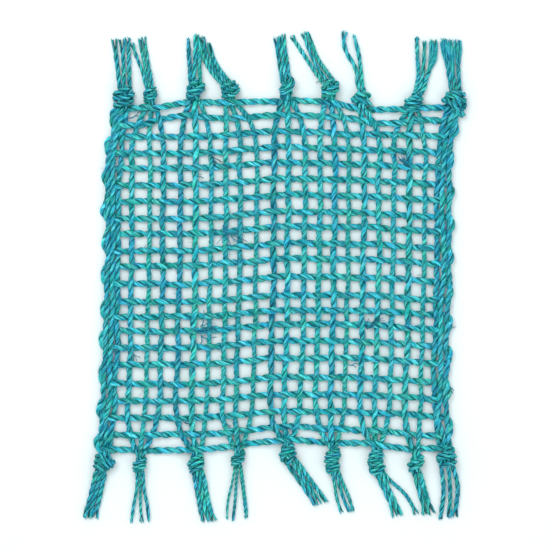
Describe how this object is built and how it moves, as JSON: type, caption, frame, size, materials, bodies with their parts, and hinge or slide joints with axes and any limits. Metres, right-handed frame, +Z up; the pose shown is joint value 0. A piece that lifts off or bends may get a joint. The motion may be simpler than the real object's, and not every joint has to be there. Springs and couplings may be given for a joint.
{
  "type": "hay net",
  "caption": "Flat hand-woven open-mesh net of twisted natural twine, with its warps tied off in a knotted fringe at both ends.",
  "frame": {"origin": "on the surface the net lies on, under the middle of its outline", "axes": "+X along the weft, +Y along the warps towards the top fringe, +Z up out of the net's face"},
  "size_m": [0.2695, 0.3426, 0.0096],
  "materials": {
    "warp_twine": "matte dyed two-ply grass twine",
    "selvedge_twine": "matte dyed two-ply grass twine",
    "weft_twine": "matte dyed two-ply grass twine",
    "fringe_twine": "matte dyed two-ply grass twine, ends cut and slightly frayed"
  },
  "bodies": {
    "woven_net": {"left_selvedge_warp_1": "selvedge_twine", "left_selvedge_warp_2": "selvedge_twine", "left_selvedge_warp_3": "selvedge_twine", "right_selvedge_warp_1": "selvedge_twine", "right_selvedge_warp_2": "selvedge_twine", "right_selvedge_warp_3": "selvedge_twine", "warp_01": "warp_twine", "warp_02": "warp_twine", "warp_03": "warp_twine", "warp_04": "warp_twine", "warp_05": "warp_twine", "warp_06": "warp_twine", "warp_07": "warp_twine", "warp_08": "warp_twine", "warp_09": "warp_twine", "warp_10": "warp_twine", "warp_11": "warp_twine", "warp_12": "warp_twine", "warp_13": "warp_twine", "warp_14": "warp_twine", "warp_15": "warp_twine", "warp_16": "warp_twine", "warp_17": "warp_twine", "warp_18": "warp_twine", "warp_19": "warp_twine", "warp_20": "warp_twine", "weft_pass_01": "weft_twine", "weft_pass_02": "weft_twine", "weft_pass_03": "weft_twine", "weft_pass_04": "weft_twine", "weft_pass_05": "weft_twine", "weft_pass_06": "weft_twine", "weft_pass_07": "weft_twine", "weft_pass_08": "weft_twine", "weft_pass_09": "weft_twine", "weft_pass_10": "weft_twine", "weft_pass_11": "weft_twine"},
    "bottom_tassel_1": {"bottom_tassel_1": "fringe_twine"},
    "bottom_tassel_2": {"bottom_tassel_2": "fringe_twine"},
    "bottom_tassel_3": {"bottom_tassel_3": "fringe_twine"},
    "bottom_tassel_4": {"bottom_tassel_4": "fringe_twine"},
    "bottom_tassel_5": {"bottom_tassel_5": "fringe_twine"},
    "bottom_tassel_6": {"bottom_tassel_6": "fringe_twine"},
    "bottom_tassel_7": {"bottom_tassel_7": "fringe_twine"},
    "bottom_tassel_8": {"bottom_tassel_8": "fringe_twine"},
    "bottom_tassel_9": {"bottom_tassel_9": "fringe_twine"},
    "top_tassel_1": {"top_tassel_1": "fringe_twine"},
    "top_tassel_2": {"top_tassel_2": "fringe_twine"},
    "top_tassel_3": {"top_tassel_3": "fringe_twine"},
    "top_tassel_4": {"top_tassel_4": "fringe_twine"},
    "top_tassel_5": {"top_tassel_5": "fringe_twine"},
    "top_tassel_6": {"top_tassel_6": "fringe_twine"},
    "top_tassel_7": {"top_tassel_7": "fringe_twine"},
    "top_tassel_8": {"top_tassel_8": "fringe_twine"},
    "top_tassel_9": {"top_tassel_9": "fringe_twine"}
  },
  "joints": [
    {"name": "bottom_tassel_1_swing", "type": "hinge", "parent": "woven_net", "child": "bottom_tassel_1", "pos_m": [-0.1172, -0.1288, 0.0046], "axis": [-0.9574, 0.2887, 0], "range_deg": [0, 90]},
    {"name": "bottom_tassel_2_swing", "type": "hinge", "parent": "woven_net", "child": "bottom_tassel_2", "pos_m": [-0.0928, -0.1312, 0.0046], "axis": [-0.9999, -0.0101, 0], "range_deg": [0, 90]},
    {"name": "bottom_tassel_3_swing", "type": "hinge", "parent": "woven_net", "child": "bottom_tassel_3", "pos_m": [-0.0532, -0.1298, 0.0046], "axis": [-0.978, -0.2087, 0], "range_deg": [0, 90]},
    {"name": "bottom_tassel_4_swing", "type": "hinge", "parent": "woven_net", "child": "bottom_tassel_4", "pos_m": [-0.0234, -0.127, 0.0046], "axis": [-0.9974, 0.0727, 0], "range_deg": [0, 90]},
    {"name": "bottom_tassel_5_swing", "type": "hinge", "parent": "woven_net", "child": "bottom_tassel_5", "pos_m": [0.0102, -0.1228, 0.0046], "axis": [-0.8346, -0.5508, 0], "range_deg": [0, 90]},
    {"name": "bottom_tassel_6_swing", "type": "hinge", "parent": "woven_net", "child": "bottom_tassel_6", "pos_m": [0.0416, -0.1264, 0.0046], "axis": [-0.9627, -0.2705, 0], "range_deg": [0, 90]},
    {"name": "bottom_tassel_7_swing", "type": "hinge", "parent": "woven_net", "child": "bottom_tassel_7", "pos_m": [0.0718, -0.127, 0.0046], "axis": [-0.8895, -0.457, 0], "range_deg": [0, 90]},
    {"name": "bottom_tassel_8_swing", "type": "hinge", "parent": "woven_net", "child": "bottom_tassel_8", "pos_m": [0.0998, -0.1312, 0.0046], "axis": [-0.969, -0.2471, 0], "range_deg": [0, 90]},
    {"name": "bottom_tassel_9_swing", "type": "hinge", "parent": "woven_net", "child": "bottom_tassel_9", "pos_m": [0.1222, -0.1282, 0.0046], "axis": [-0.9997, -0.0254, 0], "range_deg": [0, 90]},
    {"name": "top_tassel_1_swing", "type": "hinge", "parent": "woven_net", "child": "top_tassel_1", "pos_m": [-0.104, 0.1274, 0.0046], "axis": [0.9931, 0.1176, 0], "range_deg": [0, 90]},
    {"name": "top_tassel_2_swing", "type": "hinge", "parent": "woven_net", "child": "top_tassel_2", "pos_m": [-0.085, 0.1286, 0.0046], "axis": [0.9733, 0.2295, 0], "range_deg": [0, 90]},
    {"name": "top_tassel_3_swing", "type": "hinge", "parent": "woven_net", "child": "top_tassel_3", "pos_m": [-0.0542, 0.1314, 0.0046], "axis": [0.9977, 0.0681, 0], "range_deg": [0, 90]},
    {"name": "top_tassel_4_swing", "type": "hinge", "parent": "woven_net", "child": "top_tassel_4", "pos_m": [-0.0294, 0.1316, 0.0046], "axis": [0.895, 0.4461, 0], "range_deg": [0, 90]},
    {"name": "top_tassel_5_swing", "type": "hinge", "parent": "woven_net", "child": "top_tassel_5", "pos_m": [0.0094, 0.132, 0.0046], "axis": [0.9923, 0.124, 0], "range_deg": [0, 90]},
    {"name": "top_tassel_6_swing", "type": "hinge", "parent": "woven_net", "child": "top_tassel_6", "pos_m": [0.0402, 0.1318, 0.0046], "axis": [0.8824, 0.4705, 0], "range_deg": [0, 90]},
    {"name": "top_tassel_7_swing", "type": "hinge", "parent": "woven_net", "child": "top_tassel_7", "pos_m": [0.0626, 0.1276, 0.0046], "axis": [0.9774, 0.2113, 0], "range_deg": [0, 90]},
    {"name": "top_tassel_8_swing", "type": "hinge", "parent": "woven_net", "child": "top_tassel_8", "pos_m": [0.0976, 0.1254, 0.0046], "axis": [0.9779, -0.209, 0], "range_deg": [0, 90]},
    {"name": "top_tassel_9_swing", "type": "hinge", "parent": "woven_net", "child": "top_tassel_9", "pos_m": [0.1277, 0.1268, 0.0046], "axis": [0.9962, 0.0867, 0], "range_deg": [0, 90]}
  ]
}
